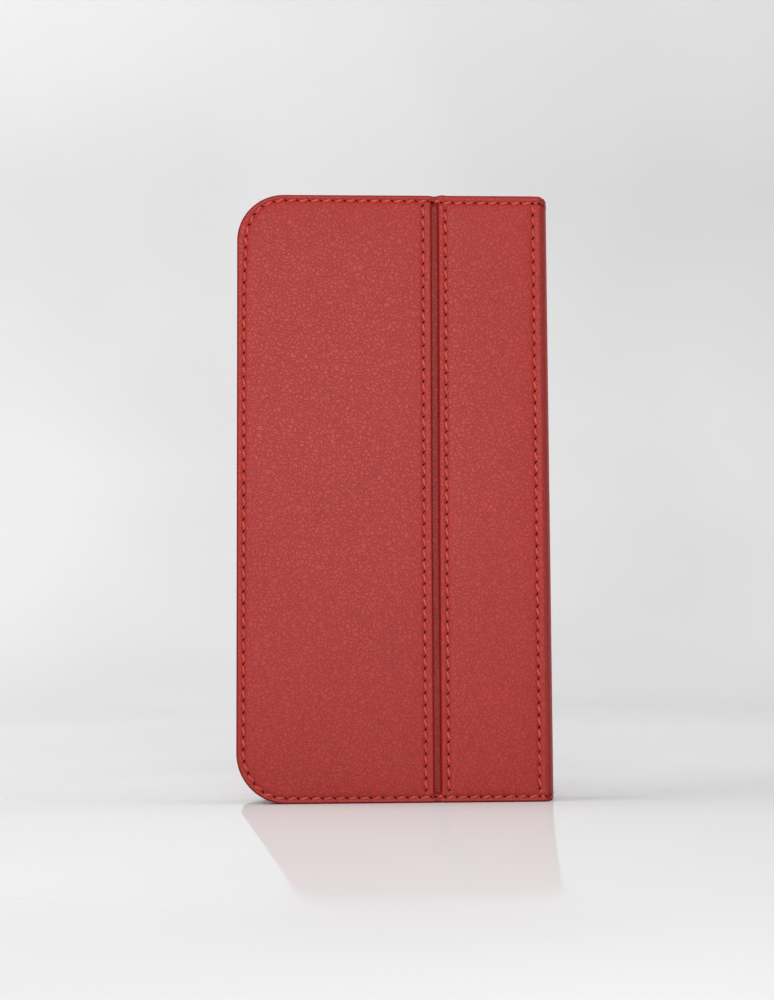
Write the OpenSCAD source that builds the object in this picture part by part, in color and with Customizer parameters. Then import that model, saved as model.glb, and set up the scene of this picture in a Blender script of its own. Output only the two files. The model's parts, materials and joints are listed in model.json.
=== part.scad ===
// Tall leather card holder that opens like a book.
// It stands closed on its lower edges: +Z up, front cover towards -Y, spine towards +X.
// The origin is the middle of its footprint.

/* [Cover] */
// Height of the closed holder
cover_h = 190; // [185:1:210]
// Width of the front cover, from the free edge to the front crease
front_w = 95.6; // [95.6:0.1:110]
// Width of the wide front leaf, from the free edge to the groove
wide_leaf_w = 60.4; // [60:0.1:64]
// Width of the pressed groove between the two front leaves
groove_w = 2.7; // [2.4:0.1:4]
// Thickness of the closed holder over both covers
body_t = 16.6; // [16.4:0.1:24]
// How far the rounded spine stands out past its two creases
spine_bulge = 3; // [2.5:0.1:5]
// Radius of the upper corners on the free edge
top_corner_r = 14.7; // [6:0.1:16]
// Radius of the lower corners on the free edge
bottom_corner_r = 17; // [6:0.1:18]

/* [Layers] */
// Thickness of the outer leather
leather_t = 1; // [0.8:0.1:1.2]
// Thickness of the foam padding under the leather
padding_t = 0.8; // [0.4:0.1:1.2]
// Thickness of the stiff board in each leaf
board_t = 1; // [0.6:0.1:1.2]
// Thickness of the lining
lining_t = 0.8; // [0.5:0.1:1]
// Width of the turned leather edge around the inner layers
rim_w = 1.2; // [1:0.1:2]
// Thickness of the stiffener and of the lining in the spine
spine_layer_t = 0.6; // [0.4:0.1:0.8]

/* [Folds] */
// Radius of the round bead that each crease turns on
bead_r = 0.8; // [0.6:0.1:1]
// Clearance around each fold
fold_gap = 0.3; // [0.2:0.05:0.5]
// Thickness of the folded web at the bottom of the groove
web_t = 1.6; // [1.2:0.1:1.8]
// Depth of the groove's fold line under the front face
fold_depth = 2.7; // [2.4:0.1:2.8]
// Radius of the leather edges beside the groove
groove_edge_r = 1.5; // [0.8:0.1:1.6]

/* [Card slots] */
// Thickness of every pocket panel
panel_t = 0.5; // [0.4:0.1:0.6]
// Room behind each panel for one card
card_gap = 0.9; // [0.8:0.05:1]
// Height of the lowest slot's floor
slot_floor_z = 9; // [9:1:14]
// Depth of each slot, floor to mouth
slot_depth = 46; // [42:1:46]
// Step from each slot's mouth to the next one's
slot_step = 14; // [14:1:15]
// Width of the sewn strips that close the slots at their sides
slot_welt_w = 2; // [1.5:0.1:2.2]

/* [Front pockets] */
// Floor of the lower upright pocket
lower_floor_z = 12; // [12:1:16]
// Mouth of the lower upright pocket
lower_mouth_z = 82; // [78:1:86]
// Floor of the upper upright pocket
upper_floor_z = 90; // [88:1:94]
// Mouth of the upper upright pocket
upper_mouth_z = 160; // [156:1:166]
// Radius of the thumb notches in the pocket mouths
thumb_r = 9; // [6:1:12]
// Width of the sewn strips that close the pockets
pocket_welt_w = 1.2; // [1:0.1:1.4]

/* [Stitching] */
// Distance of the edge seams from the edges
seam_inset = 2.2; // [1.9:0.1:2.8]
// Width of the stitch line
thread_w = 0.7; // [0.5:0.1:0.8]
// Depth that the thread lies in the leather
thread_t = 0.35; // [0.2:0.05:0.5]

/* [Hidden] */
$fn = 96;

// Landmarks across the width
free_x = -(front_w + spine_bulge) / 2;
crease_x = free_x + front_w;
leaf_end_x = crease_x - bead_r - fold_gap;
groove_left_x = free_x + wide_leaf_w;
groove_right_x = groove_left_x + groove_w;
groove_x = (groove_left_x + groove_right_x) / 2;

// Depths under the outer face of a leaf
front_y = -body_t / 2;
back_y = body_t / 2;
board_depth = leather_t + padding_t;
lining_depth = board_depth + board_t;
leaf_t = lining_depth + lining_t;

// Spine arc through both creases
spine_r = (back_y * back_y + spine_bulge * spine_bulge) / (2 * spine_bulge);
spine_centre_x = crease_x + spine_bulge - spine_r;
bead_y = back_y - bead_r;

// Pocket layers
slot_count = 8;
layer_t = panel_t + card_gap;
slot_slope = layer_t / slot_step;
slot_left_x = free_x + rim_w;
slot_right_x = leaf_end_x - rim_w;
pocket_left_x = free_x + rim_w;
pocket_right_x = groove_left_x - rim_w;
pocket_low_z = lower_floor_z - pocket_welt_w;
// Keeps two strips of one layer apart
strip_gap = 0.05;

// How far cutters reach past the faces they cut
cut = 1;
stitch_low = seam_inset - thread_w / 2;
stitch_high = seam_inset + thread_w / 2;

leather_colour = [0.68, 0.22, 0.19];
thread_colour = [0.86, 0.42, 0.35];
lining_colour = [0.55, 0.17, 0.16];
board_colour = [0.62, 0.55, 0.45];
padding_colour = [0.85, 0.83, 0.78];

// Extrudes a shape drawn in X and Z between two Y planes
module slab(y_low, y_high) {
    translate([0, y_high, 0])
    rotate([90, 0, 0])
    linear_extrude(y_high - y_low)
    children();
}

// A layer of a front leaf or of the back cover, between two depths under its outer face
module front_layer(depth_low, depth_high) {
    slab(front_y + depth_low, front_y + depth_high) children();
}

module back_layer(depth_low, depth_high) {
    slab(back_y - depth_high, back_y - depth_low) children();
}

// What has to come off a square corner to round it; up is 1 at the bottom and -1 at the top
module corner_waste(x, z, r, up) {
    difference() {
        translate([x - cut, up > 0 ? z - cut : z - r])
        square([r + cut, r + cut]);
        translate([x + r, z + up * r])
        circle(r);
    }
}

// Outline that starts at the free edge, with its rounded corners
module cover_outline(right_x, inset) {
    left_x = free_x + inset;
    top_z = cover_h - inset;
    difference() {
        translate([left_x, inset])
        square([right_x - inset - left_x, top_z - inset]);
        corner_waste(left_x, inset, bottom_corner_r - inset, 1);
        corner_waste(left_x, top_z, top_corner_r - inset, -1);
    }
}

// Outline of the narrow leaf
module narrow_outline(inset) {
    translate([groove_right_x + inset, inset])
    square([leaf_end_x - groove_right_x - 2 * inset, cover_h - 2 * inset]);
}

// Stitch line that follows the top, the free edge and the bottom of a cover
module edge_line(right_x) {
    intersection() {
        difference() {
            cover_outline(right_x + cut + stitch_low, stitch_low);
            cover_outline(right_x + 2 * cut + stitch_high, stitch_high);
        }
        translate([free_x, 0])
        square([right_x - free_x, cover_h]);
    }
}

// Upright stitch line between the top and bottom lines
module upright_line(x) {
    translate([x - thread_w / 2, stitch_high + thread_w])
    square([thread_w, cover_h - 2 * (stitch_high + thread_w)]);
}

// Top and bottom stitch lines of the narrow leaf
module narrow_edge_lines() {
    for (z = [stitch_low, cover_h - stitch_high])
        translate([groove_right_x, z])
        square([leaf_end_x - groove_right_x, thread_w]);
}

// Waste outside the rounded leather edge at one side of the groove
module groove_edge_waste(x, side) {
    centre_x = x + side * groove_edge_r;
    difference() {
        translate([min(x - side * cut, centre_x), front_y - cut, -cut])
        cube([groove_edge_r + cut, groove_edge_r + cut, cover_h + 2 * cut]);
        translate([centre_x, front_y + groove_edge_r, -2 * cut])
        cylinder(r = groove_edge_r, h = cover_h + 4 * cut);
    }
}

// Wide leaf of the front cover
module wide_leaf_leather() {
    color(leather_colour)
    difference() {
        front_layer(0, leaf_t) cover_outline(groove_left_x, 0);
        front_layer(leather_t, leaf_t + cut) cover_outline(groove_left_x, rim_w);
        groove_edge_waste(groove_left_x, -1);
        front_layer(-cut, thread_t) edge_line(groove_left_x - groove_edge_r);
        front_layer(-cut, thread_t) upright_line(groove_left_x - seam_inset);
    }
}

module wide_leaf_padding() {
    color(padding_colour)
    front_layer(leather_t, board_depth) cover_outline(groove_left_x, rim_w);
}

module wide_leaf_board() {
    color(board_colour)
    front_layer(board_depth, lining_depth) cover_outline(groove_left_x, rim_w);
}

module wide_leaf_lining() {
    color(lining_colour)
    front_layer(lining_depth, leaf_t) cover_outline(groove_left_x, rim_w);
}

module wide_leaf_edge_thread() {
    color(thread_colour)
    front_layer(0, thread_t) edge_line(groove_left_x - groove_edge_r);
}

module wide_leaf_groove_thread() {
    color(thread_colour)
    front_layer(0, thread_t) upright_line(groove_left_x - seam_inset);
}

// A front pocket layer, counted from the lining, cut to the leaf's outline
module pocket_layer(layer, offset_t, thickness) {
    depth = leaf_t + layer * layer_t + offset_t;
    front_layer(depth, depth + thickness)
    intersection() {
        cover_outline(groove_left_x, rim_w);
        children();
    }
}

// Pocket panel with a thumb notch in the middle of its mouth
module pocket_panel_shape(mouth_z) {
    difference() {
        translate([pocket_left_x, pocket_low_z])
        square([pocket_right_x - pocket_left_x, mouth_z - pocket_low_z]);
        translate([(pocket_left_x + pocket_right_x) / 2, mouth_z])
        circle(thumb_r);
    }
}

module upper_pocket_panel() {
    color(leather_colour)
    pocket_layer(0, card_gap, panel_t) pocket_panel_shape(upper_mouth_z);
}

module lower_pocket_panel() {
    color(leather_colour)
    pocket_layer(1, card_gap, panel_t) pocket_panel_shape(lower_mouth_z);
}

// Side strips and floor strip of one upright pocket
module pocket_welt_shapes(floor_z, mouth_z) {
    for (x = [pocket_left_x, pocket_right_x - pocket_welt_w])
        translate([x, pocket_low_z])
        square([pocket_welt_w, mouth_z - pocket_low_z]);
    translate([pocket_left_x + pocket_welt_w + strip_gap, floor_z - pocket_welt_w])
    square([pocket_right_x - pocket_left_x - 2 * (pocket_welt_w + strip_gap), pocket_welt_w]);
}

module front_pocket_welts() {
    color(lining_colour) {
        pocket_layer(0, 0, card_gap) pocket_welt_shapes(upper_floor_z, upper_mouth_z);
        pocket_layer(1, 0, card_gap) pocket_welt_shapes(lower_floor_z, lower_mouth_z);
    }
}

// Narrow leaf of the front cover, between the groove and the spine
module narrow_leaf_leather() {
    color(leather_colour)
    difference() {
        front_layer(0, leaf_t) narrow_outline(0);
        front_layer(leather_t, leaf_t + cut) narrow_outline(rim_w);
        groove_edge_waste(groove_right_x, 1);
        front_layer(-cut, thread_t) narrow_thread_span() narrow_edge_lines();
        front_layer(-cut, thread_t) upright_line(groove_right_x + seam_inset);
        front_layer(-cut, thread_t) upright_line(crease_x - seam_inset);
    }
}

// Keeps the narrow leaf's edge lines on its flat face
module narrow_thread_span() {
    intersection() {
        children();
        translate([groove_right_x + groove_edge_r, 0])
        square([leaf_end_x - groove_right_x - groove_edge_r, cover_h]);
    }
}

module narrow_leaf_padding() {
    color(padding_colour)
    front_layer(leather_t, board_depth) narrow_outline(rim_w);
}

module narrow_leaf_board() {
    color(board_colour)
    front_layer(board_depth, lining_depth) narrow_outline(rim_w);
}

module narrow_leaf_lining() {
    color(lining_colour)
    front_layer(lining_depth, leaf_t) narrow_outline(rim_w);
}

// Folded web at the bottom of the groove, round on its free side where the wide leaf turns
module groove_hinge_strip() {
    color(leather_colour)
    union() {
        translate([groove_x, front_y + fold_depth, 0])
        cylinder(d = web_t, h = cover_h);
        translate([groove_x, front_y + fold_depth - web_t / 2, 0])
        cube([groove_right_x - groove_x, web_t, cover_h]);
    }
}

module narrow_leaf_edge_thread() {
    color(thread_colour)
    front_layer(0, thread_t) narrow_thread_span() narrow_edge_lines();
}

module narrow_leaf_groove_thread() {
    color(thread_colour)
    front_layer(0, thread_t) upright_line(groove_right_x + seam_inset);
}

module narrow_leaf_spine_thread() {
    color(thread_colour)
    front_layer(0, thread_t) upright_line(crease_x - seam_inset);
}

// Curved sheet of the spine, clipped to the right of one X plane
module spine_sheet(outer_r, thickness, left_x, z_low, z_high) {
    intersection() {
        translate([spine_centre_x, 0, z_low])
        difference() {
            cylinder(r = outer_r, h = z_high - z_low);
            translate([0, 0, -cut])
            cylinder(r = outer_r - thickness, h = z_high - z_low + 2 * cut);
        }
        translate([left_x, front_y, z_low])
        cube([spine_bulge + spine_r, body_t, z_high - z_low]);
    }
}

// The two short stitch runs where the edge seams cross the spine
module spine_stitch_runs(outer_r, thickness) {
    for (z = [stitch_low, cover_h - stitch_high])
        spine_sheet(outer_r, thickness, crease_x + bead_r, z, z + thread_w);
}

module spine_leather() {
    color(leather_colour)
    difference() {
        union() {
            spine_sheet(spine_r, leather_t, crease_x, 0, cover_h);
            for (side = [-1, 1])
                translate([crease_x, side * bead_y, 0])
                cylinder(r = bead_r, h = cover_h);
        }
        spine_stitch_runs(spine_r + cut, thread_t + cut);
    }
}

module spine_stiffener() {
    color(board_colour)
    spine_sheet(spine_r - leather_t, spine_layer_t, crease_x + bead_r, 0, cover_h);
}

module spine_lining() {
    color(lining_colour)
    spine_sheet(spine_r - leather_t - spine_layer_t, spine_layer_t, crease_x + bead_r, 0, cover_h);
}

module spine_thread() {
    color(thread_colour)
    spine_stitch_runs(spine_r, thread_t);
}

// Back cover, one stiff leaf from the free edge to the back crease
module back_cover_leather() {
    color(leather_colour)
    difference() {
        back_layer(0, leaf_t) cover_outline(leaf_end_x, 0);
        back_layer(leather_t, leaf_t + cut) cover_outline(leaf_end_x, rim_w);
        back_layer(-cut, thread_t) edge_line(leaf_end_x);
        back_layer(-cut, thread_t) upright_line(crease_x - seam_inset);
    }
}

module back_cover_padding() {
    color(padding_colour)
    back_layer(leather_t, board_depth) cover_outline(leaf_end_x, rim_w);
}

module back_cover_board() {
    color(board_colour)
    back_layer(board_depth, lining_depth) cover_outline(leaf_end_x, rim_w);
}

module back_cover_lining() {
    color(lining_colour)
    back_layer(lining_depth, leaf_t) cover_outline(leaf_end_x, rim_w);
}

module back_cover_edge_thread() {
    color(thread_colour)
    back_layer(0, thread_t) edge_line(leaf_end_x);
}

module back_cover_spine_thread() {
    color(thread_colour)
    back_layer(0, thread_t) upright_line(crease_x - seam_inset);
}

// Floor of a card slot; slot 1 is the highest
function slot_floor(slot) = slot_floor_z + (slot_count - slot) * slot_step;

// Sheet that leans forward from a slot's floor, offset_t in front of the lining there
module leaning_sheet(slot, offset_t, thickness, height, left_x, right_x) {
    floor_z = slot_floor(slot);
    low_y = back_y - leaf_t - offset_t;
    high_y = low_y - slot_slope * height;
    intersection() {
        translate([left_x, 0, 0])
        rotate([90, 0, 90])
        linear_extrude(right_x - left_x)
        polygon([
            [low_y, floor_z],
            [high_y, floor_z + height],
            [high_y - thickness, floor_z + height],
            [low_y - thickness, floor_z]
        ]);
        slab(front_y, back_y) cover_outline(leaf_end_x, rim_w);
    }
}

// Panel of one card slot
module card_slot(slot) {
    color(leather_colour)
    leaning_sheet(slot, card_gap, panel_t, slot_depth, slot_left_x, slot_right_x);
}

module slot_side_welts() {
    color(lining_colour)
    for (slot = [1:slot_count], left_x = [slot_left_x, slot_right_x - slot_welt_w])
        leaning_sheet(slot, 0, card_gap, slot_depth, left_x, left_x + slot_welt_w);
}

module slot_floor_welts() {
    color(lining_colour)
    for (slot = [1:slot_count])
        leaning_sheet(slot, 0, card_gap, pocket_welt_w,
                      slot_left_x + slot_welt_w + strip_gap,
                      slot_right_x - slot_welt_w - strip_gap);
}

wide_leaf_leather();
wide_leaf_padding();
wide_leaf_board();
wide_leaf_lining();
upper_pocket_panel();
lower_pocket_panel();
front_pocket_welts();
wide_leaf_edge_thread();
wide_leaf_groove_thread();
narrow_leaf_leather();
narrow_leaf_padding();
narrow_leaf_board();
narrow_leaf_lining();
groove_hinge_strip();
narrow_leaf_edge_thread();
narrow_leaf_groove_thread();
narrow_leaf_spine_thread();
spine_leather();
spine_stiffener();
spine_lining();
spine_thread();
back_cover_leather();
back_cover_padding();
back_cover_board();
back_cover_lining();
card_slot(1);  // card_slot_1
card_slot(2);  // card_slot_2
card_slot(3);  // card_slot_3
card_slot(4);  // card_slot_4
card_slot(5);  // card_slot_5
card_slot(6);  // card_slot_6
card_slot(7);  // card_slot_7
card_slot(8);  // card_slot_8
slot_side_welts();
slot_floor_welts();
back_cover_edge_thread();
back_cover_spine_thread();
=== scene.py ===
"""Looks of a tall card holder: grained leather turned over padded boards, sewn all round.

Each leather piece is a closed sheet: a grid of points for its outside, and one for its inside.
Depths are counted from the outer face of a cover towards the middle of the closed holder.
"""

import json
import math
import random

import bpy
import numpy as np
from mathutils import Matrix, Vector


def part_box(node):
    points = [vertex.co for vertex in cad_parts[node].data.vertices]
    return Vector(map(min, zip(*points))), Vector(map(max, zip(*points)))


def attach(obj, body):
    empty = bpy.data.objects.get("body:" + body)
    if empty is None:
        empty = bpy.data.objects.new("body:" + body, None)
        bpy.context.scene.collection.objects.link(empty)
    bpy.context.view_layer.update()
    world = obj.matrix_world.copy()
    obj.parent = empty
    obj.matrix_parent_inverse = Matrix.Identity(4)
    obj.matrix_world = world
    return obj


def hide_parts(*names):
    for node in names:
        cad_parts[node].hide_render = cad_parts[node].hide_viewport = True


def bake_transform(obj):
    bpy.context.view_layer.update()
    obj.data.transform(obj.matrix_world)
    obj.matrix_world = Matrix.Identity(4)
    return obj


MM = 0.001

# Camera
CAMERA_PLACE = Vector((-25.1, -520.9, 52.8)) * MM
CAMERA_YAW = math.radians(2.51)
CAMERA_PITCH = math.radians(4.52)
CAMERA_ROLL = math.radians(-0.31)
CAMERA_LENS = 59.54

# Shape of the covers
TOP_CORNER_R = 14.7 * MM
BOTTOM_CORNER_R = 15.6 * MM
RIM_W = 1.2 * MM
LEATHER_T = 1.0 * MM
EDGE_R = 0.75 * MM
INNER_EDGE_R = 0.4 * MM
PAD_T = 0.8 * MM
LINING_T = 0.8 * MM
SKIN_REACH = 0.5 * MM

# How the leather lies over the padding
CROWN_H = 0.4 * MM
CROWN_SPREAD = 3.2 * MM
TRENCH_DEPTH = 0.42 * MM
TRENCH_W = 0.55 * MM
UNEVEN_H = 0.05 * MM
UNEVEN_FROM_EDGE = 6 * MM

# Groove between the front leaves
GROOVE_DEPTH = 1.9 * MM
GROOVE_WALL_W = 0.55 * MM
GROOVE_END_DEPTH = 0.16 * MM
GROOVE_END_LENGTH = 1.4 * MM
PUCKER_H = 0.2 * MM
GROOVE_LEAN = 0.34 * MM
# Painted shade on the groove floor: how much of the darker, duller rim colour the recess takes
GROOVE_PAINTED_SHADE = 0.5

# Seams
SEAM_INSET = 2.2 * MM
TOP_SEAM_LIFT = 0.45 * MM
NARROW_SEAM_DROP = 0.65 * MM
BOTTOM_SEAM_DROP = 0.5 * MM
CORNER_DRIFT = 0.6 * MM
STITCH_PITCH = 3.72 * MM
STITCH_LENGTH = 2.9 * MM
STITCH_W = 0.66 * MM
STITCH_T = 0.5 * MM
STITCH_SLANT = math.radians(15)
HOLE_LENGTH = 1.6 * MM
HOLE_W = 0.5 * MM
HOLE_T = 0.34 * MM
HOLE_SLANT = math.radians(-42)

# Creases and spine
SHOULDER_R = 0.9 * MM
VALLEY_X = 1.25 * MM
VALLEY_DEPTH = 2.5 * MM
SPINE_EDGE_R = 0.6 * MM
SPINE_LAYER_T = 0.6 * MM
STRIP_SHORT = 0.06 * MM

# Pockets
PANEL_T = 0.5 * MM
TURNED_T = 0.14 * MM
TURNED_H = 8 * MM
PRESSED_LINE = 2.0 * MM
THUMB_R = 9 * MM
SLOT_LEAN = 0.1

# Fineness of the meshes
ROW_STEP = 0.5 * MM
CORNER_STEP = math.radians(1.6)
FINE_STEP = 0.22 * MM
WIDE_STEP = 3 * MM
CORNER_SETTLE = 45 * MM
SPINE_ROWS = 80
SPINE_POINTS = 21
LINING_ROWS = 96

random_stitch = random.Random(11)


# ---------------------------------------------------------------- Landmarks


def read_landmarks():
    """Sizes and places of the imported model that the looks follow."""
    wide_low, wide_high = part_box("wide_leaf_leather")
    narrow_low, narrow_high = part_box("narrow_leaf_leather")
    spine_low, spine_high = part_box("spine_leather")
    back_low, back_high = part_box("back_cover_leather")
    joints = {joint["name"]: joint for joint in frame["joints"]}
    return {
        "free_x": wide_low.x,
        "groove_left": wide_high.x,
        "groove_right": narrow_low.x,
        "groove_x": joints["groove_fold"]["pos_m"][0],
        "leaf_end": narrow_high.x,
        "crease_x": joints["front_crease"]["pos_m"][0],
        "spine_x": spine_high.x,
        "front_y": wide_low.y,
        "back_y": back_high.y,
        "height": wide_high.z,
        "leaf_t": wide_high.y - wide_low.y,
        "spine_seam": seam_x("narrow_leaf_spine_thread"),
        "left_seam": seam_x("wide_leaf_groove_thread"),
        "right_seam": seam_x("narrow_leaf_groove_thread"),
    }


def seam_x(node):
    """X of an upright seam's middle."""
    low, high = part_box(node)
    return (low.x + high.x) / 2


# ---------------------------------------------------------------- Shapes


def smooth(low, high, value):
    """0 below low, 1 above high, smooth in between."""
    t = np.clip((value - low) / (high - low), 0, 1)
    return t * t * (3 - 2 * t)


def hill(value, width):
    """A smooth hill that is 1 at 0."""
    return np.exp(-((value / width) ** 2))


def rounded_edge(distance, radius):
    """How far a rounded edge falls away at a distance from the outline."""
    reach = np.clip(radius - distance, 0, radius)
    return radius - np.sqrt(radius**2 - reach**2)


def outline_distance(x, z, inset=0.0):
    """Distance from the outline at the free edge, the top and the bottom, corners included."""
    left = x - mark["free_x"] - inset
    low = z - inset
    high = mark["height"] - inset - z
    distance = np.minimum(left, np.minimum(low, high))
    for radius, gap in ((BOTTOM_CORNER_R - inset, low), (TOP_CORNER_R - inset, high)):
        in_corner = (left < radius) & (gap < radius)
        distance = np.where(in_corner, radius - np.hypot(radius - left, radius - gap), distance)
    return distance


def corner_shift(z, inset):
    """How far the rounded corners pull the free edge in at each height."""
    low = np.clip(BOTTOM_CORNER_R - z, 0, BOTTOM_CORNER_R - inset)
    high = np.clip(TOP_CORNER_R - (mark["height"] - z), 0, TOP_CORNER_R - inset)
    low_shift = BOTTOM_CORNER_R - inset - np.sqrt((BOTTOM_CORNER_R - inset) ** 2 - low**2)
    high_shift = TOP_CORNER_R - inset - np.sqrt((TOP_CORNER_R - inset) ** 2 - high**2)
    return low_shift + high_shift


def uneven(x, z):
    """Slow waves of hand-laid leather, the same on every run."""
    waves = np.sin(x / (9 * MM) + 1.3 * np.sin(z / (23 * MM)))
    waves += np.sin(z / (13 * MM) + 0.9 * np.sin(x / (17 * MM) + 1.1))
    waves += 0.6 * np.sin((x + z) / (6.5 * MM) + 2.1)
    return UNEVEN_H * waves / 2.6


def plateau(distance):
    """Rise of padded leather behind a seam."""
    return 1 - np.exp(-np.clip(distance, 0, None) / CROWN_SPREAD)


def seam_inset(x, z):
    """Distance of the edge seam from the edge, which wanders a little as a sewn line does."""
    top = smooth(mark["height"] - 9 * MM, mark["height"] - 4 * MM, z)
    bottom = 1 - smooth(4 * MM, 9 * MM, z)
    narrow = smooth(mark["groove_left"], mark["groove_right"], x)
    drift = CORNER_DRIFT * hill(z - (mark["height"] - TOP_CORNER_R), 10 * MM) * (1 - narrow)
    lift = NARROW_SEAM_DROP * narrow - TOP_SEAM_LIFT
    return SEAM_INSET + drift + top * lift - bottom * BOTTOM_SEAM_DROP


def trench(distance, along):
    """Groove that a seam pulls into the leather, deepest at its needle holes."""
    pull = 0.85 + 0.15 * np.cos(2 * math.pi * along / STITCH_PITCH)
    return TRENCH_DEPTH * pull * hill(distance, TRENCH_W)


def upright_trench(distance, edge, z):
    """Trench of an upright seam, which starts inside the edge seam."""
    return smooth(SEAM_INSET, SEAM_INSET + 2 * MM, edge) * trench(distance, z)


def dive(x):
    """How far a cover's leather dives under the crease strip past the spine seam."""
    return smooth(0, SKIN_REACH, x - mark["spine_seam"]) * LEATHER_T


def groove_share(x):
    """1 on the groove's floor and 0 on the leaves."""
    left = smooth(mark["groove_left"], mark["groove_left"] + GROOVE_WALL_W, x)
    right = 1 - smooth(mark["groove_right"] - 0.4 * MM, mark["groove_right"] + 0.25 * MM, x)
    return left * right


def groove_depth(x, z):
    """Depth of the pressed groove, which runs out where the edge seams cross it."""
    end = np.minimum(z, mark["height"] - z)
    depth = GROOVE_END_DEPTH + (GROOVE_DEPTH - GROOVE_END_DEPTH) * smooth(
        SEAM_INSET - 0.6 * MM, SEAM_INSET + GROOVE_END_LENGTH, end
    )
    streaks = 0.06 * MM * np.sin(z / (2.3 * MM) + 2 * np.sin(z / (5.1 * MM)))
    return (depth + streaks) * groove_share(x)


def front_depth(x, z):
    """Depth of the front cover's outside."""
    edge = outline_distance(x, z)
    past_seam = edge - seam_inset(x, z)
    wide = np.minimum(past_seam, mark["left_seam"] - x)
    narrow = np.minimum(x - mark["right_seam"], mark["spine_seam"] - x)
    crown = CROWN_H * (plateau(wide) + plateau(np.minimum(narrow, past_seam)))
    depth = rounded_edge(edge, EDGE_R) + trench(past_seam, 0)
    for seam in ("left_seam", "right_seam"):
        depth += upright_trench(x - mark[seam], edge, z)
    depth += upright_trench(np.maximum(mark["spine_seam"] - x, 0), edge, z)
    waves = uneven(x, z) * smooth(0, UNEVEN_FROM_EDGE, edge)
    return depth + groove_depth(x, z) + dive(x) - crown - waves


def back_depth(x, z):
    """Depth of the back cover's outside."""
    edge = outline_distance(x, z)
    past_seam = edge - seam_inset(x, z)
    crown = CROWN_H * plateau(np.minimum(past_seam, mark["spine_seam"] - x))
    depth = rounded_edge(edge, EDGE_R) + trench(past_seam, 0)
    depth += upright_trench(np.maximum(mark["spine_seam"] - x, 0), edge, z)
    waves = uneven(x + 40 * MM, z) * smooth(0, UNEVEN_FROM_EDGE, edge)
    return depth + dive(x) - crown - waves


# ---------------------------------------------------------------- Meshes


def new_object(name, points, faces, material):
    """A smooth mesh object from an array of points and a list of faces."""
    mesh = bpy.data.meshes.new(name)
    mesh.from_pydata(points.tolist(), [], faces)
    mesh.validate()
    mesh.shade_smooth()
    mesh.materials.append(material)
    piece = bpy.data.objects.new(name, mesh)
    bpy.context.scene.collection.objects.link(piece)
    return piece


def signed_volume(points, faces):
    """Volume of a closed quad mesh, below 0 when its faces point inwards."""
    a, b, c, d = (points[faces[:, corner]] for corner in range(4))
    first = np.einsum("ij,ij->i", a, np.cross(b, c))
    second = np.einsum("ij,ij->i", a, np.cross(c, d))
    return (first.sum() + second.sum()) / 6


def closed_sheet(name, outer, inner, material):
    """A closed mesh between two grids of points that share their rows and columns."""
    rows, columns = outer.shape[:2]
    count = rows * columns
    grid = np.arange(count).reshape(rows, columns)
    face = np.stack([grid[:-1, :-1], grid[:-1, 1:], grid[1:, 1:], grid[1:, :-1]], -1)
    face = face.reshape(-1, 4)
    loop = np.concatenate([grid[0, :-1], grid[:-1, -1], grid[-1, :0:-1], grid[:0:-1, 0]])
    after = np.roll(loop, -1)
    wall = np.stack([after, loop, loop + count, after + count], -1)
    faces = np.concatenate([face, face[:, ::-1] + count, wall])
    points = np.concatenate([outer.reshape(-1, 3), inner.reshape(-1, 3)])
    if signed_volume(points, faces) < 0:
        faces = faces[:, ::-1]
    return new_object(name, points, faces.tolist(), material)


def mark_rim_and_painted_shade(piece, values):
    """Stores how much of each point takes the darker, duller rim colour: the turned edge, burnished
    and partly painted shade, and painted shade in the groove, on the spine and beside the crease.
    """
    attribute = piece.data.attributes.new("rim", "FLOAT", "POINT")
    attribute.data.foreach_set("value", np.asarray(values, np.float32).ravel())


def turned_share(edge):
    """1 on the turned edge's rounding and 0 on the face."""
    return 1 - smooth(0.25 * RIM_W, 0.6 * RIM_W, edge)


def corner_rows(radius):
    """Heights through a rounded corner, finest at the edge."""
    return radius * (1 - np.cos(np.arange(0, math.pi / 2, CORNER_STEP)))


def cover_rows():
    """Heights of a cover's rows, from the bottom to the top."""
    low = corner_rows(BOTTOM_CORNER_R)
    high = mark["height"] - corner_rows(TOP_CORNER_R)[::-1]
    middle = np.arange(BOTTOM_CORNER_R, high[0] - ROW_STEP / 2, ROW_STEP)
    return np.concatenate([low, middle, high])


def edge_columns():
    """Distances from an edge: fine on the rounding, along the seam, and then wider."""
    rounding = EDGE_R * (1 - np.cos(np.linspace(0, math.pi / 2, 8)))
    seam = np.arange(EDGE_R + FINE_STEP, SEAM_INSET + 1.4 * MM, FINE_STEP)
    return np.concatenate([rounding, seam, np.geomspace(seam[-1] + 0.4 * MM, 14 * MM, 8)])


def seam_end_columns(end_x):
    """Columns towards the spine seam, fine where the leather dives under the crease strip."""
    far = end_x - np.geomspace(1.6 * MM, 10 * MM, 7)[::-1]
    near = np.arange(end_x - 1.4 * MM, end_x + 0.3 * FINE_STEP, FINE_STEP)
    return np.concatenate([far, near])


def steps(start, end, step):
    """Even positions between two ends, without the ends."""
    count = max(2, round((end - start) / step))
    return np.linspace(start, end, count + 1)[1:-1]


def front_columns():
    """Columns of the front cover, counted from its free edge."""
    edge = edge_columns()
    groove_from = mark["left_seam"] - 3 * MM - mark["free_x"]
    groove_to = mark["right_seam"] + 3 * MM - mark["free_x"]
    groove = np.arange(groove_from, groove_to, FINE_STEP)
    end = seam_end_columns(skin_end() - mark["free_x"])
    left = steps(edge[-1], groove[0], WIDE_STEP)
    right = steps(groove[-1], end[0], WIDE_STEP)
    return np.concatenate([edge, left, groove, right, end])


def back_columns():
    """Columns of the back cover, counted from its free edge."""
    edge = edge_columns()
    end = seam_end_columns(skin_end() - mark["free_x"])
    return np.concatenate([edge, steps(edge[-1], end[0], WIDE_STEP), end])


def skin_end():
    """X where a cover's leather ends, under the crease strip."""
    return mark["spine_seam"] + SKIN_REACH


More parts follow.
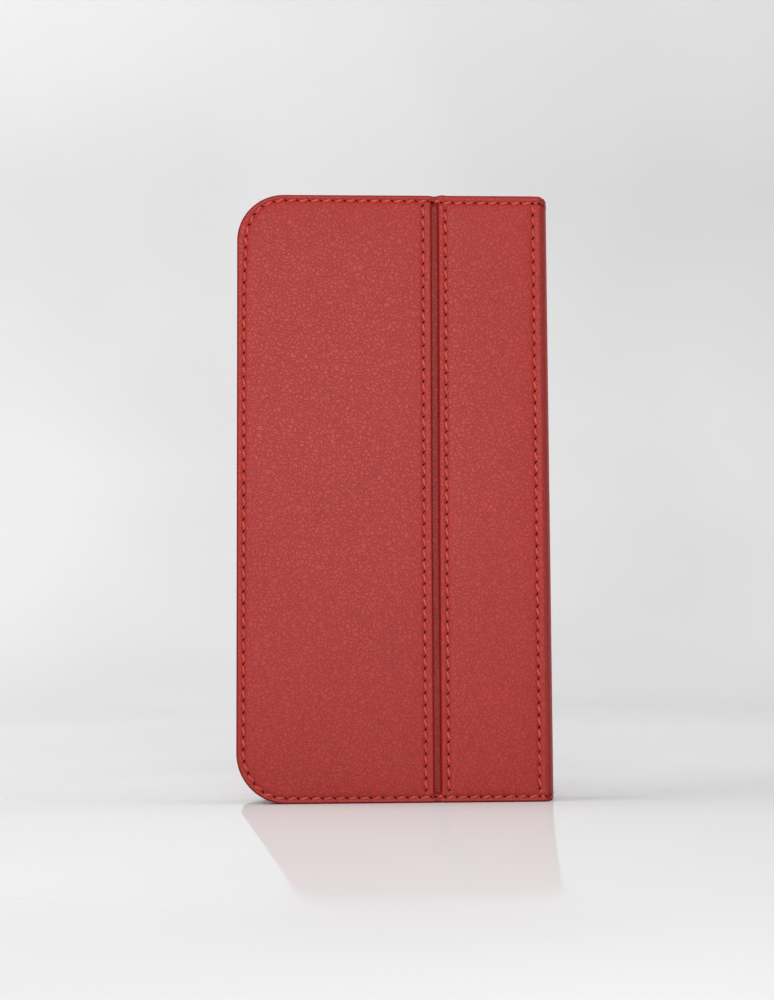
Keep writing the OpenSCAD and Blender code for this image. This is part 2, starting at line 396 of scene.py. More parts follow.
def cover_grid(columns, rows, inset=0.0):
    """X and Z of a grid that follows the rounded free edge."""
    z = rows[:, None] + 0 * columns[None, :]
    shift = corner_shift(rows, inset)[:, None]
    x = mark["free_x"] + columns[None, :] + shift * (1 - np.clip(columns / CORNER_SETTLE, 0, 1))
    return x, z


def on_cover(x, z, depth, side):
    """Points at a depth under the front face (side -1) or the back face (side 1)."""
    face = mark["front_y"] if side < 0 else mark["back_y"]
    return np.stack([x, face - side * depth + 0 * x, z], -1)


def drawn(points):
    """Front cover points, moved as the sewing pulls them."""
    x, y, z = points[..., 0], points[..., 1], points[..., 2]
    height = mark["height"]
    top = smooth(height - 5 * MM, height, z)
    bottom = 1 - smooth(0, 5 * MM, z)
    dip = PUCKER_H * hill(x - mark["groove_x"], 1.0 * MM)
    bump = PUCKER_H * hill(x - mark["groove_right"] - 1.2 * MM, 0.9 * MM)
    lean = GROOVE_LEAN * smooth(0.35 * height, height, z) * hill(x - mark["groove_x"], 16 * MM)
    return np.stack([x + lean, y, z - top * (dip - bump) + bottom * dip], -1)


def skin(name, columns, depth_at, side):
    """Outer leather of a cover, turned over the free edge, the top and the bottom."""
    x, z = cover_grid(columns, cover_rows())
    depth = depth_at(x, z)
    edge = outline_distance(x, z)
    rim = 1 - smooth(RIM_W - 0.05 * MM, RIM_W + 0.1 * MM, edge)
    under = depth + LEATHER_T * (1 - 0.2 * groove_share(x))
    rim_depth = mark["leaf_t"] - rounded_edge(edge, INNER_EDGE_R)
    inner_depth = rim * rim_depth + (1 - rim) * under
    outer = on_cover(x, z, depth, side)
    inner = on_cover(x, z, inner_depth, side)
    if side < 0:
        outer, inner = drawn(outer), drawn(inner)
    piece = closed_sheet(name, outer, inner, leather)
    # turned is the burnished turned edge, its darkness partly painted shade; pressed is painted
    # shade on the groove floor
    turned = turned_share(edge)
    pressed = GROOVE_PAINTED_SHADE * groove_share(x) if side < 0 else 0
    mark_rim_and_painted_shade(piece, [np.maximum(turned, pressed), np.ones_like(turned)])
    return piece


def inset_rows(inset):
    """Heights of a layer's rows inside the turned edge."""
    turn = np.linspace(0, math.pi / 2, 24)
    high = mark["height"] - TOP_CORNER_R
    return np.concatenate([
        BOTTOM_CORNER_R - (BOTTOM_CORNER_R - inset) * np.cos(turn),
        steps(BOTTOM_CORNER_R, high, 2.5 * MM),
        high + (TOP_CORNER_R - inset) * np.sin(turn),
    ])


def layer_columns(start_x, end_x):
    """Columns of a layer between two positions, finer at its ends."""
    span = end_x - start_x
    border = np.array([0, 0.1, 0.25, 0.5, 0.9, 1.5]) * MM
    inner = steps(border[-1], span - border[-1], 2 * MM)
    return start_x - mark["free_x"] + np.concatenate([border, inner, span - border[::-1]])


def layer(name, start_x, end_x, depths, side, material, inset=RIM_W):
    """A layer of a cover; depths gives its outer and inner depth at x, z."""
    x, z = cover_grid(layer_columns(start_x, end_x), inset_rows(inset), inset)
    low, high = depths(x, z)
    return closed_sheet(name, on_cover(x, z, low, side), on_cover(x, z, high, side), material)


def border_distance(x, z, start_x, end_x, inset):
    """Distance from a layer's border."""
    ends = np.minimum(x - start_x, end_x - x)
    return np.clip(np.minimum(outline_distance(x, z, inset), ends), 0, None)


def pad(name, start_x, end_x, depth_at, side):
    """Foam pad that swells between the board and the leather's underside."""
    inset = RIM_W + 0.1 * MM

    def depths(x, z):
        under = depth_at(x, z) + LEATHER_T + 0.02 * MM
        floor = LEATHER_T + PAD_T
        border = border_distance(x, z, start_x, end_x, inset)
        swell = smooth(-0.2 * MM, 0.5 * MM, border)
        return floor - (floor - under) * swell, floor + 0 * x

    piece = layer(name, start_x, end_x, depths, side, foam, inset)
    return piece


def lining(name, start_x, end_x, side, fold_x=None):
    """Lining inside the turned edge, with its fold line over the groove."""

    def depths(x, z):
        border = border_distance(x, z, start_x, end_x, RIM_W)
        face = mark["leaf_t"] - rounded_edge(border, 0.25 * MM)
        if fold_x is not None:
            face = face - 0.3 * MM * hill(x - fold_x, 0.5 * MM)
        return mark["leaf_t"] - LINING_T + 0 * x, face

    piece = layer(name, start_x, end_x, depths, side, lining_cloth)
    return piece


# ---------------------------------------------------------------- Spine and creases


def raised(profile, rows):
    """A grid that repeats a profile, or holds one for each row, at the heights of the rows."""
    count = len(rows)
    flat = np.broadcast_to(profile, (count,) + profile.shape[-2:])
    tall = np.broadcast_to(rows[:, None, None], flat.shape[:2] + (1,))
    return np.concatenate([flat, tall], -1)


def arc_points(centre, radius, start, end, count):
    """Points of an arc, with angles in degrees."""
    angles = np.radians(np.linspace(start, end, count))
    return np.array(centre) + radius * np.stack([np.cos(angles), np.sin(angles)], -1)


def line_points(start, end, count):
    """Points of a straight line, without its start."""
    share = np.linspace(0, 1, count + 1)[1:, None]
    return np.array(start) * (1 - share) + np.array(end) * share


def spine_centre():
    """Middle of the spine's arc, and its radius."""
    half = mark["back_y"]
    bulge = mark["spine_x"] - mark["crease_x"]
    radius = (half**2 + bulge**2) / (2 * bulge)
    return mark["spine_x"] - radius, radius


def valley_point():
    """Pressed line between a cover's rounded shoulder and the spine, on the front."""
    return np.array([mark["crease_x"] + VALLEY_X, mark["front_y"] + VALLEY_DEPTH])


def crease_profile():
    """Outside of the front crease strip, from under the cover's leather to under the spine's."""
    face = mark["front_y"]
    seam = mark["spine_seam"]
    rise = seam + np.linspace(0, 1.3 * MM, 8)
    bank = np.stack([rise, np.full_like(rise, face)], -1)
    tuck = np.array([[seam - 0.5 * MM, face + LEATHER_T], [seam - 0.25 * MM, face + 0.6 * MM]])
    corner = (mark["crease_x"] - 0.45 * MM, face + SHOULDER_R)
    shoulder = arc_points(corner, SHOULDER_R, -90, -22, 9)
    valley = valley_point()
    side = line_points(shoulder[-1], valley, 6)
    under = line_points(valley, valley + np.array([-0.5, 0.7]) * MM, 2)
    return np.concatenate([tuck, bank, shoulder, side, under])


def spine_profile():
    """Outside of the spine, from one pressed line to the other."""
    centre_x, radius = spine_centre()
    valley = valley_point()
    start = math.degrees(math.asin((valley[1] + SPINE_EDGE_R) / radius))
    bulge = arc_points((centre_x, 0), radius, start, -start, 25)
    bend = np.array([[valley[0] - 0.3 * MM, valley[1] + 0.35 * MM], valley + [0.1 * MM, 0.05 * MM]])
    shoulder = valley * 0.5 + bulge[0] * 0.5 + np.array([0.12, -0.1]) * MM
    front = np.concatenate([bend, shoulder[None], bulge])
    end = np.array([1, -1]) * np.concatenate([bend, shoulder[None]])[::-1]
    return np.concatenate([front, end])


def seam_relief(profile, rows):
    """How deep the spine-side seam pulls a crease strip, at each row and profile point."""
    end = np.minimum(rows, mark["height"] - rows)[:, None]
    inside = smooth(SEAM_INSET, SEAM_INSET + 2 * MM, end)
    upright_pull = inside * trench(profile[None, :, 0] - mark["spine_seam"], rows[:, None])
    on_face = profile[None, :, 0] < mark["crease_x"]
    level_pull = trench(end - seam_inset(profile[None, :, 0], rows[:, None]), 0)
    return np.where(on_face, upright_pull, 0) + level_pull


def strip(name, profile, behind, thickness, shade, relief=None, short=0.0):
    """A strip swept up the holder, with painted shade along its profile by shade. It is thicker at
    its turned ends, where it reaches behind.
    """
    ends, rounding = RIM_W, EDGE_R
    end_rows = np.concatenate([
        rounding * (1 - np.cos(np.linspace(0, math.pi / 2, 8))),
        [ends - 0.02 * MM, ends + 0.05 * MM],
        np.arange(ends + 0.3 * MM, ends + 3.2 * MM, 0.25 * MM),
    ])
    middle = steps(end_rows[-1], mark["height"] - end_rows[-1], 0.93 * MM)
    rows = np.concatenate([end_rows, middle, mark["height"] - end_rows[::-1]])
    short_rows = short + rows * (1 - 2 * short / mark["height"])
    way = behind - profile
    length = np.linalg.norm(way, axis=1, keepdims=True)
    way = way / np.maximum(length, 1e-9)
    edge = np.minimum(rows, mark["height"] - rows)[:, None, None]
    fall = rounded_edge(edge, rounding)
    if relief is not None:
        fall = fall + relief(profile, rows)[..., None]
    outer = profile[None] + way[None] * np.minimum(fall, 0.45 * length[None])
    deep = np.where(edge < ends, length[None], thickness)
    inner = profile[None] + way[None] * deep
    piece = closed_sheet(name, raised(outer, short_rows), raised(inner, short_rows), leather)
    # shade is painted shade: the darker, duller rim colour at each profile point, joined with the
    # turned ends' rim
    turned = np.maximum(turned_share(edge)[..., 0], shade[None])
    mark_rim_and_painted_shade(piece, [turned, np.ones_like(turned)])
    return piece


def mirrored(profile):
    """The same profile on the back of the holder."""
    return profile * np.array([1, -1])


def behind_crease(profile):
    """Where the crease strip's turned ends reach: the plane of the linings."""
    plane = mark["front_y"] + mark["leaf_t"]
    x = np.clip(profile[:, 0] - 0.3 * MM, None, mark["crease_x"] + 0.3 * MM)
    return np.stack([x, np.maximum(plane, profile[:, 1] + 0.6 * MM)], -1)


def behind_spine(profile):
    """Where the spine's turned ends reach: the inside of its lining."""
    centre_x, radius = spine_centre()
    away = profile - np.array([centre_x, 0])
    share = (radius - LEATHER_T - 2 * SPINE_LAYER_T) / np.linalg.norm(away, axis=1)
    return np.array([centre_x, 0]) + away * share[:, None]


def spine_sheet(name, outer_depth, thickness, reach_y, material):
    """A curved layer inside the spine, between its turned ends."""
    centre_x, radius = spine_centre()
    outer_r = radius - outer_depth
    half = math.degrees(math.asin(reach_y / outer_r))
    outer = arc_points((centre_x, 0), outer_r, -half, half, SPINE_POINTS)
    inner = arc_points((centre_x, 0), outer_r - thickness, -half, half, SPINE_POINTS)
    rows = np.linspace(RIM_W, mark["height"] - RIM_W, SPINE_ROWS)
    return closed_sheet(name, raised(outer, rows), raised(inner, rows), material)


def crease_lining_profile():
    """Inside of the front crease, from the cover's lining to the spine's."""
    centre_x, radius = spine_centre()
    inner_r = radius - LEATHER_T - 2 * SPINE_LAYER_T
    plane = mark["front_y"] + mark["leaf_t"]
    start = np.array([mark["leaf_end"] - 1.6 * MM, plane - 0.1 * MM])
    bend = np.array([mark["crease_x"] - 0.9 * MM, plane + 0.15 * MM])
    middle = np.array([mark["crease_x"] - 0.1 * MM, plane + 0.9 * MM])
    angle = -math.asin(2.6 * MM / inner_r)
    end = np.array([centre_x + inner_r * math.cos(angle), inner_r * math.sin(angle)])
    parts = [line_points(start, bend, 4), line_points(bend, middle, 5), line_points(middle, end, 5)]
    return np.concatenate([start[None], *parts])


def crease_lining(name, side):
    """Soft strip that joins a cover's lining to the spine's."""
    profile = crease_lining_profile()
    away = np.gradient(profile, axis=0)
    normal = np.stack([away[:, 1], -away[:, 0]], -1)
    normal /= np.linalg.norm(normal, axis=1, keepdims=True)
    outer = profile + normal * 0.45 * MM
    if side > 0:
        profile, outer = mirrored(profile), mirrored(outer)
    rows = np.linspace(0.6 * MM, mark["height"] - 0.6 * MM, LINING_ROWS)
    return closed_sheet(name, raised(outer, rows), raised(profile, rows), lining_cloth)


# ---------------------------------------------------------------- Pockets


def panel_rows(height):
    """Shares of a panel's height, fine at its mouth, its pressed line and its turned edge."""
    mouth = np.array([0, 0.03, 0.1, 0.22, 0.4, 0.8]) * MM
    pressed = PRESSED_LINE + np.array([-0.7, -0.3, -0.1, 0.1, 0.3, 0.7]) * MM
    between = np.array([3.6, 5.5]) * MM
    turned = TURNED_H + np.array([-0.4, 0, 0.4]) * MM
    lower = np.linspace(10 * MM, height, 14)
    return 1 - np.concatenate([mouth, pressed, between, turned, lower])[::-1] / height


def thumb_notch(x, middle):
    """How deep a round thumb notch cuts into a mouth at each position."""
    return np.sqrt(np.clip(THUMB_R**2 - (x - middle) ** 2, 0, None))


def panel_columns(start_x, end_x, notch):
    """Columns of a pocket panel, fine at its sides and around its notch."""
    side = np.array([0, 0.1, 0.3, 0.8]) * MM
    if not notch:
        inner = steps(start_x + side[-1], end_x - side[-1], 3 * MM)
        return np.concatenate([start_x + side, inner, end_x - side[::-1]])
    middle = (start_x + end_x) / 2
    round_x = middle - THUMB_R * np.cos(np.linspace(0, math.pi, 41))
    left = steps(start_x + side[-1], round_x[0], 3 * MM)
    right = steps(round_x[-1], end_x - side[-1], 3 * MM)
    return np.concatenate([start_x + side, left, round_x, right, end_x - side[::-1]])


def panel(name, node, side, lean, notch=False):
    """A pocket panel in place of its CAD sheet, with a turned and pressed mouth."""
    low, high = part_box(node)
    columns = panel_columns(low.x, high.x, notch)
    height = high.z - low.z
    cut = thumb_notch(columns, (low.x + high.x) / 2) if notch else 0 * columns
    share = panel_rows(height)[:, None]
    z = low.z + share * (height - cut[None, :])
    left = mark["free_x"] + RIM_W + corner_shift(z, RIM_W)
    x = np.maximum(columns[None, :], left + 1e-3 * (columns[None, :] - low.x))
    from_mouth = (1 - share) * (height - cut[None, :])
    sides = np.minimum(columns - low.x, high.x - columns)[None, :]
    turned = TURNED_T * (1 - smooth(TURNED_H - 0.3 * MM, TURNED_H + 0.4 * MM, from_mouth))
    pressed = 0.14 * MM * hill(from_mouth - PRESSED_LINE, 0.22 * MM)
    thick = PANEL_T + turned - pressed
    fall = rounded_edge(np.minimum(from_mouth, sides), 0.22 * MM)
    back = (high.y if side > 0 else low.y) - side * lean * (z - low.z)
    wave = 0.05 * MM * np.sin(x / (11 * MM) + z / (31 * MM)) * smooth(0, 12 * MM, sides)
    face = back - side * (thick - fall) + wave
    outer = np.stack([x, face, z], -1)
    inner = np.stack([x, back - side * fall + wave, z], -1)
    piece = closed_sheet(name, outer, inner, leather_fine)
    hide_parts(node)
    return piece


# ---------------------------------------------------------------- Stitches


def capsule(length, width, thickness, plies, dip):
    """Points and faces of one stitch: along, across and out of the leather."""
    rings, around = 11, 12
    t = np.linspace(-1, 1, rings)[:, None]
    angle = np.linspace(0, 2 * math.pi, around, endpoint=False)[None, :]
    swell = np.sqrt(np.clip(1 - np.abs(t) ** 3, 0.02, 1))
    twist = 1 + plies * np.cos(2 * (angle - 3.2 * t))
    across = swell * twist * np.cos(angle) * width / 2
    out = swell * twist * np.sin(angle) * thickness / 2 - dip * t**4
    along = t * length / 2 + 0 * angle
    points = np.stack([along, across, out], -1).reshape(-1, 3)
    grid = np.arange(rings * around).reshape(rings, around)
    after = np.roll(grid, -1, axis=1)
    quads = np.stack([grid[:-1], after[:-1], after[1:], grid[1:]], -1).reshape(-1, 4)
    return points, quads, [grid[0, ::-1], grid[-1]]


def stitch_shape():
    """One stitch of twisted thread, dipping into the leather at both ends."""
    return capsule(STITCH_LENGTH, STITCH_W, STITCH_T, 0.1, 0.28 * MM)


def hole_shape():
    """One slanted needle hole: a capsule that carries its painted shade."""
    return capsule(HOLE_LENGTH, HOLE_W, HOLE_T, 0.0, 0.05 * MM)


def place_all(name, shape, places, material):
    """One object of many copies of a small shape, each at its centre, direction and outward way."""
    points, quads, caps = shape
    count = len(points)
    spots = []
    faces = []
    for index, (centre, along, out) in enumerate(places):
        across = np.cross(out, along)
        across /= np.linalg.norm(across)
        basis = np.stack([along, across, out])
        spots.append(points @ basis + centre)
        faces += (quads + index * count).tolist()
        faces += [(cap + index * count).tolist() for cap in caps]
    return new_object(name, np.concatenate(spots), faces, material)


def edge_path(start_x, end_x):
    """Seam from start_x along the top, round the free edge, and along the bottom to end_x."""
    inset = SEAM_INSET
    left = mark["free_x"]
    top = mark["height"]
    corner = (left + TOP_CORNER_R, top - TOP_CORNER_R)
    high = arc_points(corner, TOP_CORNER_R - inset, 90, 180, 40)
    side = line_points(high[-1], (left + inset, BOTTOM_CORNER_R), 60)
    corner = (left + BOTTOM_CORNER_R, BOTTOM_CORNER_R)
    low = arc_points(corner, BOTTOM_CORNER_R - inset, 180, 270, 40)
    start = line_points((start_x, top - inset), high[0], 20)[:-1]
    path = np.concatenate([[[start_x, top - inset]], start, high, side, low[1:], [[end_x, inset]]])
    way = np.gradient(path, axis=0)
    inward = np.stack([-way[:, 1], way[:, 0]], -1) / np.linalg.norm(way, axis=1, keepdims=True)
    drift = seam_inset(path[:, 0], path[:, 1]) - SEAM_INSET
    return path + inward * drift[:, None]


def spaced(path):
    """Points and directions along a path, one each half stitch, and the stitches' length."""
    way = np.diff(path, axis=0)
    length = np.concatenate([[0], np.cumsum(np.hypot(way[:, 0], way[:, 1]))])
    count = max(1, round(length[-1] / STITCH_PITCH))
    spots = np.linspace(0, length[-1], 2 * count + 1)
    x = np.interp(spots, length, path[:, 0])
    z = np.interp(spots, length, path[:, 1])
    direction = np.stack([np.gradient(x), np.gradient(z)], -1)
    direction /= np.linalg.norm(direction, axis=1, keepdims=True)
    return np.stack([x, z], -1), direction, length[-1] / count / STITCH_PITCH


def turned_way(direction, angle):
    """A direction in the X-Z plane, turned within it."""
    c, s = math.cos(angle), math.sin(angle)
    return np.array([direction[0] * c - direction[1] * s, 0, direction[0] * s + direction[1] * c])


def seam_places(paths, surface_y, side):
    """Where the stitches and the needle holes of some seams lie on a cover."""
    stitches, holes = [], []
    out = np.array([0.0, side, 0.0])
    for path in paths:
        points, directions, share = spaced(path)
        for index, (point, way) in enumerate(zip(points, directions)):
            y = surface_y(point[0], point[1])
            jitter = math.radians(random_stitch.uniform(-3, 3))
            centre = np.array([point[0], y, point[1]])
            if surface_y is front_surface:
                centre = drawn(centre)
            if index % 2:
                along = turned_way(way, STITCH_SLANT + jitter) * share
                along = along * random_stitch.uniform(0.96, 1.02)
                stitches.append((centre + out * STITCH_T * 0.2, along, out))
            else:
                holes.append((centre, turned_way(way, HOLE_SLANT + jitter), out))
    return stitches, holes


def sew(name, body, paths, surface_y, side, replaced=()):
    """Stitches and needle holes of some seams on one body."""
    stitches, holes = seam_places(paths, surface_y, side)
    stitched = place_all(name + "_stitches", stitch_shape(), stitches, thread_finish)
    pierced = place_all(name + "_needle_holes", hole_shape(), holes, hole_painted_shade)
    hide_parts(*replaced)
    for piece in (stitched, pierced):
        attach(piece, body)


def upright(x, top, bottom):
    """An upright seam from its top to its bottom."""
    return np.array([[x, top], [x, bottom]])


def level(start_x, end_x, z):
    """A level seam."""
    return np.array([[start_x, z], [end_x, z]])


def front_surface(x, z):
    """Y of the front cover's outside."""
    x = min(x, mark["spine_seam"])
    return mark["front_y"] + float(front_depth(np.array([x]), np.array([z]))[0])


def back_surface(x, z):
    """Y of the back cover's outside."""
    x = min(x, mark["spine_seam"])
    return mark["back_y"] - float(back_depth(np.array([x]), np.array([z]))[0])


def lining_surface(side):
    """Function for Y of a cover's lining."""
    face = mark["front_y"] if side < 0 else mark["back_y"]
    plane = face - side * mark["leaf_t"]
    return lambda x, z: plane


def spine_places(z):
    """Where the spine's stitches and holes lie at one height."""
    centre_x, radius = spine_centre()
    stitches, holes = [], []
    for index in range(-3, 4):
        angle = index * STITCH_PITCH / 2 / radius
        out = np.array([math.cos(angle), math.sin(angle), 0.0])
        along = np.array([-math.sin(angle), math.cos(angle), 0.0])
        centre = np.array([centre_x, 0, z]) + out * (radius - 0.15 * MM)
        if index % 2 == 0:
            stitches.append((centre + out * 0.1 * MM, along, out))
        else:
            holes.append((centre, along * 0.8 + np.array([0, 0, 0.6]), out))
    return stitches, holes


# ---------------------------------------------------------------- Materials


def new_material(name):
    """A material and its shader."""
    material = bpy.data.materials.new(name)
    material.use_nodes = True
    return material, material.node_tree.nodes["Principled BSDF"]


def add_node(material, kind, **settings):
    """A node with some of its properties set."""
    made = material.node_tree.nodes.new(kind)
    for key, value in settings.items():
        setattr(made, key, value)
    return made


def wire(material, start, end):
    """Links one socket to another."""
    material.node_tree.links.new(start, end)


def place_socket(material):
    """Rest position of the surface, in metres."""
    return add_node(material, "ShaderNodeTexCoord").outputs["Object"]


def noise_node(material, scale, detail=2.0, roughness=0.5):
    """Noise over the object's own space."""
    made = add_node(material, "ShaderNodeTexNoise")
    made.inputs["Scale"].default_value = scale
    made.inputs["Detail"].default_value = detail
    made.inputs["Roughness"].default_value = roughness
    wire(material, place_socket(material), made.inputs["Vector"])
    return made


def ramp(material, source, low, high, low_at=0.35, high_at=0.65):
    """Two colours chosen by a value."""
    made = add_node(material, "ShaderNodeValToRGB")
    first, second = made.color_ramp.elements
    first.position, second.position = low_at, high_at
    first.color = (*low, 1)
    second.color = (*high, 1)
    wire(material, source, made.inputs["Fac"])
    return made.outputs["Color"]


def mix(material, share, first, second):
    """One colour socket over another by a share."""
    made = add_node(material, "ShaderNodeMix", data_type="RGBA")
    if isinstance(share, float):
        made.inputs["Factor"].default_value = share
    else:
        wire(material, share, made.inputs["Factor"])
    wire(material, first, made.inputs["A"])
    wire(material, second, made.inputs["B"])
    return made.outputs["Result"]


def scalar(material, operation, *values):
    """Arithmetic on values or sockets."""
    made = add_node(material, "ShaderNodeMath", operation=operation)
    for socket, value in zip(made.inputs, values):
        if isinstance(value, (int, float)):
            socket.default_value = value
        else:
            wire(material, value, socket)
    return made.outputs["Value"]


def remap(material, source, limits, interpolation="LINEAR"):
    """A value carried from one range to another."""
    made = add_node(material, "ShaderNodeMapRange", interpolation_type=interpolation)
    for key, value in limits.items():
        made.inputs[key].default_value = value
    wire(material, source, made.inputs["Value"])
    return made.outputs["Result"]


def bump(material, shader, height, distance):
    """Puts a height on the shader as bump."""
    made = add_node(material, "ShaderNodeBump")
    made.inputs["Distance"].default_value = distance
    wire(material, height, made.inputs["Height"])
    wire(material, made.outputs["Normal"], shader.inputs["Normal"])


def cracks(material, scale, width, drift):
    """1 on pebbles of grain and 0 in the thin, wandering wrinkles between them."""
    warp = noise_node(material, scale * 0.3, 3.0, 0.6)
    bent = add_node(material, "ShaderNodeVectorMath", operation="MULTIPLY_ADD")
    wire(material, warp.outputs["Color"], bent.inputs[0])
    bent.inputs[1].default_value = (drift / scale,) * 3
    wire(material, place_socket(material), bent.inputs[2])
    cells = add_node(material, "ShaderNodeTexVoronoi", feature="DISTANCE_TO_EDGE")
    cells.inputs["Scale"].default_value = scale
    wire(material, bent.outputs["Vector"], cells.inputs["Vector"])
    return remap(material, cells.outputs["Distance"], {"From Max": width}, "SMOOTHSTEP")


def wrinkles(material, scale):
    """Height of a fine leather grain: wandering wrinkles with smaller pebbles between them."""
    wide = cracks(material, scale * 0.75, 0.2, 3.4)
    small = cracks(material, scale * 1.7, 0.3, 2.2)
    return scalar(material, "MULTIPLY", wide, scalar(material, "MULTIPLY_ADD", small, 0.4, 0.6))


def leather_finish(name, grain_scale, grain_depth, deep, light, roughness):
    """Dyed, finished leather with a fine grain, slow changes of tone, and a darker, duller colour
    by the rim attribute: burnished edges that also carry painted shade, and painted shade in the
    groove, on the spine and beside the crease.
    """
    material, shader = new_material(name)
    grain = wrinkles(material, grain_scale)
    fine = noise_node(material, grain_scale * 2.6, 3.0, 0.6).outputs["Fac"]
    slow = noise_node(material, 28, 2.0).outputs["Fac"]
    shade = ramp(material, slow, deep, light, 0.3, 0.72)
    worn = tuple(c * 1.15 + 0.008 for c in light)
    speck = ramp(material, fine, deep, worn, 0.3, 0.7)
    colour = mix(material, 0.35, shade, speck)
    cracked = ramp(material, grain, tuple(c * 0.42 for c in deep), worn, 0.0, 0.9)
    grained = mix(material, 0.36, colour, cracked)
    # Darker colour for the rim attribute: burnished turned edges darkened further as painted shade,
    # and painted shade on the groove floor, the spine and the crease sides
    burnished_edge_and_painted_shade = ramp(material, fine, tuple(c * 0.5 for c in deep), tuple(c * 0.72 for c in deep))
    rim = add_node(material, "ShaderNodeAttribute", attribute_name="rim").outputs["Fac"]
    wire(material, mix(material, rim, grained, burnished_edge_and_painted_shade), shader.inputs["Base Color"])
    gloss = remap(material, grain, {"To Min": roughness + 0.1, "To Max": roughness - 0.05})
    rough = scalar(material, "ADD", gloss, scalar(material, "MULTIPLY", rim, 0.15))
    wire(material, rough, shader.inputs["Roughness"])
    shine = remap(material, rim, {"From Min": 0.65, "To Min": 0.42, "To Max": 0.04})
    wire(material, shine, shader.inputs["Specular IOR Level"])
    height = scalar(material, "ADD", grain, scalar(material, "MULTIPLY", fine, 0.3))
    bump(material, shader, height, grain_depth)
    return material


def thread_material():
    """Twisted polyester thread."""
    material, shader = new_material("sewing_thread")
    fibre = noise_node(material, 5200, 3.0, 0.7).outputs["Fac"]
    slow = noise_node(material, 160, 1.0).outputs["Fac"]
    dark, light = (0.46, 0.058, 0.036), (0.66, 0.105, 0.068)
    twisted = ramp(material, fibre, dark, light)
    colour = mix(material, 0.5, twisted, ramp(material, slow, dark, light))
    wire(material, colour, shader.inputs["Base Color"])
    shader.inputs["Roughness"].default_value = 0.5
    shader.inputs["Specular IOR Level"].default_value = 0.3
    bump(material, shader, fibre, 0.05 * MM)
    return material


def hole_shade_material():
    """Painted shade of a needle hole: near-black leather colour on a small capsule over the seam.
    """
    material, shader = new_material("needle_hole")
    speck = noise_node(material, 2600, 2.0).outputs["Fac"]
    wire(material, ramp(material, speck, (0.004, 0.001, 0.001), (0.022, 0.002, 0.002)),
         shader.inputs["Base Color"])
    shader.inputs["Roughness"].default_value = 0.9
    shader.inputs["Specular IOR Level"].default_value = 0.1
    bump(material, shader, speck, 0.05 * MM)
    return material


def lining_material():
    """Matt twill lining."""
    material, shader = new_material("lining_twill")
    twill = add_node(material, "ShaderNodeTexWave", wave_type="BANDS", bands_direction="DIAGONAL")
    twill.inputs["Scale"].default_value = 420
    twill.inputs["Distortion"].default_value = 0.6
    twill.inputs["Detail"].default_value = 1.0
    wire(material, place_socket(material), twill.inputs["Vector"])
    slow = noise_node(material, 45, 3.0).outputs["Fac"]
    fuzz = noise_node(material, 3000, 3.0, 0.7).outputs["Fac"]
    base = ramp(material, slow, (0.12, 0.012, 0.010), (0.17, 0.018, 0.015))
    weave = ramp(material, twill.outputs["Fac"], (0.09, 0.009, 0.008), (0.21, 0.024, 0.02))
    wire(material, mix(material, 0.5, base, weave), shader.inputs["Base Color"])
    shader.inputs["Roughness"].default_value = 0.82
    shader.inputs["Sheen Weight"].default_value = 0.3
    height = scalar(material, "ADD", twill.outputs["Fac"], scalar(material, "MULTIPLY", fuzz, 0.6))
    bump(material, shader, height, 0.05 * MM)
    return material


def board_material():
    """Pressed fibre board."""
    material, shader = new_material("fibre_board")
    fibre = noise_node(material, 700, 5.0, 0.7).outputs["Fac"]
    wire(material, ramp(material, fibre, (0.30, 0.24, 0.17), (0.48, 0.41, 0.31)),
         shader.inputs["Base Color"])
    shader.inputs["Roughness"].default_value = 0.85
    bump(material, shader, fibre, 0.08 * MM)
    return material


def foam_material():
    """Open-cell foam."""
    material, shader = new_material("foam")
    cells = add_node(material, "ShaderNodeTexVoronoi")
    cells.inputs["Scale"].default_value = 2200
    wire(material, place_socket(material), cells.inputs["Vector"])
    distance = cells.outputs["Distance"]
    colour = ramp(material, distance, (0.55, 0.52, 0.44), (0.78, 0.75, 0.66), 0, 0.7)
    wire(material, colour, shader.inputs["Base Color"])
    shader.inputs["Roughness"].default_value = 0.95
    bump(material, shader, distance, 0.1 * MM)
    return material


def floor_material():
    """Pale, softly polished ground."""
    material, shader = new_material("pale_ground")
    cloud = noise_node(material, 3, 2.0).outputs["Fac"]
    pale = ramp(material, cloud, (0.53, 0.53, 0.535), (0.57, 0.57, 0.575))
    wire(material, pale, shader.inputs["Base Color"])
    away = add_node(material, "ShaderNodeVectorMath", operation="DISTANCE")
    wire(material, place_socket(material), away.inputs[0])
    away.inputs[1].default_value = (0, -0.06, 0)
    reach = {"From Min": 0.1, "From Max": 0.22, "To Min": 0.05, "To Max": 0.7}
    polish = remap(material, away.outputs["Value"], reach, "SMOOTHSTEP")
    wire(material, polish, shader.inputs["Roughness"])
    wire(material, polish, shader.inputs["Coat Roughness"])
    shader.inputs["Specular IOR Level"].default_value = 0.5
    shader.inputs["Coat Weight"].default_value = 0.6
    return material


# ---------------------------------------------------------------- Assembly


def fix_to(body, piece, slot, *replaced):
    """A piece that moves with one body and stands for some CAD nodes."""
    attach(piece, body)
    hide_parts(*replaced)


def over_groove(piece):
    """A piece that lies over the groove between the two front leaves, baked into world space."""
    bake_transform(piece)


def make_covers():
    """Leather of both covers, with pads and linings."""
    front = skin("front_skin", front_columns(), front_depth, -1)
    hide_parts("wide_leaf_leather", "narrow_leaf_leather", "groove_hinge_strip")
    over_groove(front)
    back = skin("back_skin", back_columns(), back_depth, 1)
    fix_to("back_cover", back, "leather", "back_cover_leather")
    make_pads()
    make_linings()


